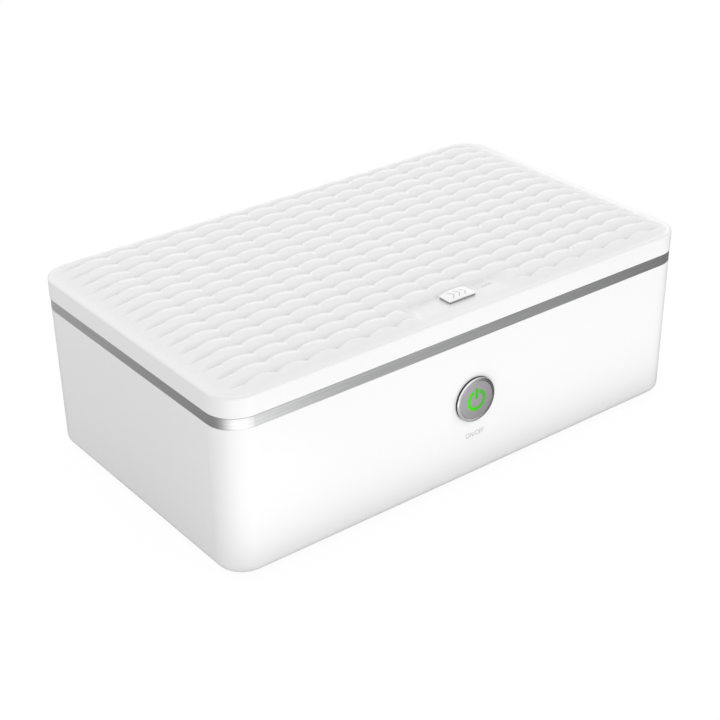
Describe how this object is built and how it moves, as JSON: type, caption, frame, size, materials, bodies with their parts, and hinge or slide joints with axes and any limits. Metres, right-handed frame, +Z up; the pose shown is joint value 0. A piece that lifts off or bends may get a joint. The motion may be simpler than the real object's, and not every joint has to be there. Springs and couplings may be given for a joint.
{
  "type": "uv toy sterilizer",
  "caption": "Low rectangular box with rounded corners, a hinged pillow-patterned lid, a metal band, a slide lock, a round push button and a mirrored chamber for cleaning toys.",
  "frame": {"origin": "centre of the bounding box, on the plane that the feet stand on", "axes": "+Z up, +X along the length to the right as seen from the front, the button on the side facing -Y"},
  "size_m": [0.42, 0.2529, 0.1466],
  "materials": {
    "white_plastic": "moulded, glossy",
    "brushed_band": "brushed along its length",
    "steel": "satin",
    "polished_aluminium": "polished",
    "satin_aluminium": "satin",
    "rack_wire": "bright",
    "dark_chrome": "bright, smoked",
    "rubber": "matte",
    "silicone": "matte, translucent white",
    "lamp_glass": "clear",
    "circuit_board": "solder mask",
    "black_plastic": "moulded",
    "green_lens": "translucent, lit from behind",
    "magnet": "nickel plated"
  },
  "bodies": {
    "base": {"outer_shell": "white_plastic", "trim_band": "brushed_band", "base_cover": "white_plastic", "cover_screws": "steel", "feet": "rubber", "chamber_liner": "polished_aluminium", "liner_screws": "steel", "lid_seal": "silicone", "lower_lamp_tubes": "lamp_glass", "lower_lamp_caps": "silicone", "lower_lamp_clips": "steel", "toy_rack": "rack_wire", "rack_feet": "silicone", "driver_board": "circuit_board", "driver_parts": "black_plastic", "board_standoffs": "white_plastic", "board_screws": "steel", "power_inlet": "black_plastic", "inlet_nut": "steel", "button_bezel": "dark_chrome", "bezel_nut": "steel", "switch_barrel": "black_plastic", "button_spring": "steel", "base_hinge_leaves": "steel", "hinge_pins": "steel", "base_hinge_screws": "steel", "latch_strike": "steel", "strike_rivets": "steel", "interlock_switch": "black_plastic"},
    "lid": {"lid_frame": "white_plastic", "weave_panel": "white_plastic", "lid_hinge_leaves": "steel", "lid_hinge_screws": "steel", "lid_reflector": "polished_aluminium", "reflector_screws": "steel", "lamp_windows": "lamp_glass", "upper_lamp_tubes": "lamp_glass", "upper_lamp_caps": "silicone", "upper_lamp_clips": "steel", "interlock_magnet": "magnet"},
    "slide": {"slide_knob": "white_plastic", "latch_bolt": "steel", "latch_screw": "steel"},
    "button": {"button_cap": "satin_aluminium", "button_lens": "green_lens"}
  },
  "joints": [
    {"name": "lid_hinge", "type": "hinge", "parent": "base", "child": "lid", "pos_m": [0, 0.12345, 0.12515], "axis": [-1, 0, 0], "range_deg": [0, 100]},
    {"name": "lock_slide", "type": "slide", "parent": "lid", "child": "slide", "axis": [1, 0, 0], "range_m": [0, 0.005]},
    {"name": "button_press", "type": "slide", "parent": "base", "child": "button", "axis": [0, 1, 0], "range_m": [0, 0.0012], "stiffness_N_per_m": 1200, "springref_m": -0.001}
  ]
}
